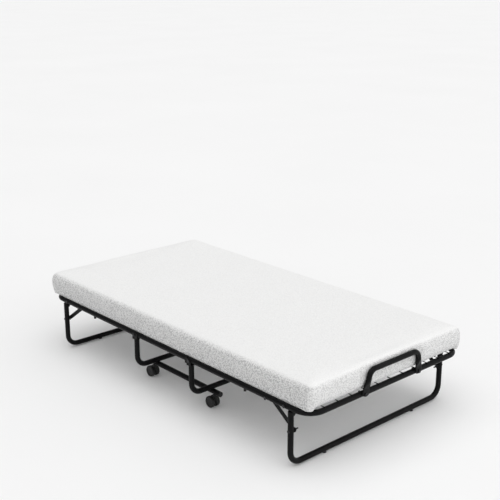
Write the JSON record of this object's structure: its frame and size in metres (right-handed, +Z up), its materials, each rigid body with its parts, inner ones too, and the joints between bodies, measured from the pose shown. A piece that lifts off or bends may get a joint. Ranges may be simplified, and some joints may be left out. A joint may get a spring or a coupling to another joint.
{
  "type": "folding cot",
  "caption": "Rollaway folding bed: two hinged tube half frames with wire bases and folding end legs on a wheeled carriage, with a foam mattress.",
  "frame": {"origin": "on the floor under the middle of the open cot", "axes": "+X along the length to the foot end, +Y across the width to the far side, +Z up"},
  "size_m": [1.9424, 1.0048, 0.39],
  "materials": {
    "frame_black": "satin powder coat",
    "wire_black": "satin powder coat",
    "fastener": "black oxide",
    "plastic_black": "fine grain",
    "wheel_black": "fine grain, worn tread",
    "foam_cover": "knitted boucle cover"
  },
  "bodies": {
    "carriage": {"carriage_leg_head": "frame_black", "carriage_leg_foot": "frame_black", "carriage_rail_near": "frame_black", "carriage_rail_far": "frame_black", "carriage_crossbar_head": "frame_black", "carriage_crossbar_foot": "frame_black", "base_bar_near": "frame_black", "base_bar_far": "frame_black", "base_bar_plugs": "plastic_black", "hinge_brackets": "frame_black", "hinge_bolts": "fastener", "mattress_middle": "foam_cover"},
    "foot_frame": {"foot_frame_tube": "frame_black", "foot_mid_crossbar": "frame_black", "foot_leg_crossbar": "frame_black", "foot_inner_crossbar": "frame_black", "foot_outer_wires": "wire_black", "foot_inner_wires": "wire_black", "foot_handle": "frame_black", "foot_handle_bolts": "fastener", "foot_leg_catches": "plastic_black", "foot_leg_pivot_bolts": "fastener", "foot_brace_pivot_bolts": "fastener", "foot_mattress": "foam_cover"},
    "foot_leg": {"foot_leg_tube": "frame_black", "foot_leg_pivot_plates": "frame_black", "foot_leg_glides": "plastic_black", "foot_brace_bolts": "fastener"},
    "foot_brace": {"foot_leg_braces": "frame_black"},
    "head_frame": {"head_frame_tube": "frame_black", "head_mid_crossbar": "frame_black", "head_leg_crossbar": "frame_black", "head_inner_crossbar": "frame_black", "head_outer_wires": "wire_black", "head_inner_wires": "wire_black", "head_handle": "frame_black", "head_handle_bolts": "fastener", "head_leg_catches": "plastic_black", "head_leg_pivot_bolts": "fastener", "head_brace_pivot_bolts": "fastener", "head_mattress": "foam_cover"},
    "head_leg": {"head_leg_tube": "frame_black", "head_leg_pivot_plates": "frame_black", "head_leg_glides": "plastic_black", "head_brace_bolts": "fastener"},
    "head_brace": {"head_leg_braces": "frame_black"},
    "caster_head_near": {"caster_head_near_fork": "plastic_black"},
    "caster_head_near_wheel": {"caster_head_near_axle": "fastener", "caster_head_near_wheels": "wheel_black"},
    "caster_head_far": {"caster_head_far_fork": "plastic_black"},
    "caster_head_far_wheel": {"caster_head_far_axle": "fastener", "caster_head_far_wheels": "wheel_black"},
    "caster_foot_near": {"caster_foot_near_fork": "plastic_black"},
    "caster_foot_near_wheel": {"caster_foot_near_axle": "fastener", "caster_foot_near_wheels": "wheel_black"},
    "caster_foot_far": {"caster_foot_far_fork": "plastic_black"},
    "caster_foot_far_wheel": {"caster_foot_far_axle": "fastener", "caster_foot_far_wheels": "wheel_black"}
  },
  "joints": [
    {"name": "foot_fold", "type": "hinge", "parent": "carriage", "child": "foot_frame", "pos_m": [0.207, 0, 0.268], "axis": [0, -1, 0], "range_deg": [0, 90]},
    {"name": "foot_leg_fold", "type": "hinge", "parent": "foot_frame", "child": "foot_leg", "pos_m": [0.81, 0, 0.268], "axis": [0, 1, 0], "range_deg": [0, 90]},
    {"name": "foot_brace_fold", "type": "hinge", "parent": "foot_frame", "child": "foot_brace", "pos_m": [0.7, 0, 0.263], "axis": [0, -1, 0], "range_deg": [0, 26.5]},
    {"name": "head_fold", "type": "hinge", "parent": "carriage", "child": "head_frame", "pos_m": [-0.207, 0, 0.268], "axis": [0, 1, 0], "range_deg": [0, 90]},
    {"name": "head_leg_fold", "type": "hinge", "parent": "head_frame", "child": "head_leg", "pos_m": [-0.81, 0, 0.268], "axis": [0, -1, 0], "range_deg": [0, 90]},
    {"name": "head_brace_fold", "type": "hinge", "parent": "head_frame", "child": "head_brace", "pos_m": [-0.7, 0, 0.263], "axis": [0, 1, 0], "range_deg": [0, 26.5]},
    {"name": "caster_head_near_swivel", "type": "hinge", "parent": "carriage", "child": "caster_head_near", "pos_m": [-0.236, -0.358, 0.06], "axis": [0, 0, 1], "continuous": true},
    {"name": "caster_head_near_roll", "type": "hinge", "parent": "caster_head_near", "child": "caster_head_near_wheel", "pos_m": [-0.258, -0.358, 0.0275], "axis": [0, 1, 0], "continuous": true},
    {"name": "caster_head_far_swivel", "type": "hinge", "parent": "carriage", "child": "caster_head_far", "pos_m": [-0.236, 0.358, 0.06], "axis": [0, 0, 1], "continuous": true},
    {"name": "caster_head_far_roll", "type": "hinge", "parent": "caster_head_far", "child": "caster_head_far_wheel", "pos_m": [-0.258, 0.358, 0.0275], "axis": [0, 1, 0], "continuous": true},
    {"name": "caster_foot_near_swivel", "type": "hinge", "parent": "carriage", "child": "caster_foot_near", "pos_m": [0.224, -0.358, 0.06], "axis": [0, 0, 1], "continuous": true},
    {"name": "caster_foot_near_roll", "type": "hinge", "parent": "caster_foot_near", "child": "caster_foot_near_wheel", "pos_m": [0.202, -0.358, 0.0275], "axis": [0, 1, 0], "continuous": true},
    {"name": "caster_foot_far_swivel", "type": "hinge", "parent": "carriage", "child": "caster_foot_far", "pos_m": [0.224, 0.358, 0.06], "axis": [0, 0, 1], "continuous": true},
    {"name": "caster_foot_far_roll", "type": "hinge", "parent": "caster_foot_far", "child": "caster_foot_far_wheel", "pos_m": [0.202, 0.358, 0.0275], "axis": [0, 1, 0], "continuous": true}
  ],
  "couplings": [
    {"joint": "foot_brace_fold", "follows": "foot_leg_fold", "ratio": 0.2889},
    {"joint": "head_brace_fold", "follows": "head_leg_fold", "ratio": 0.2889}
  ]
}
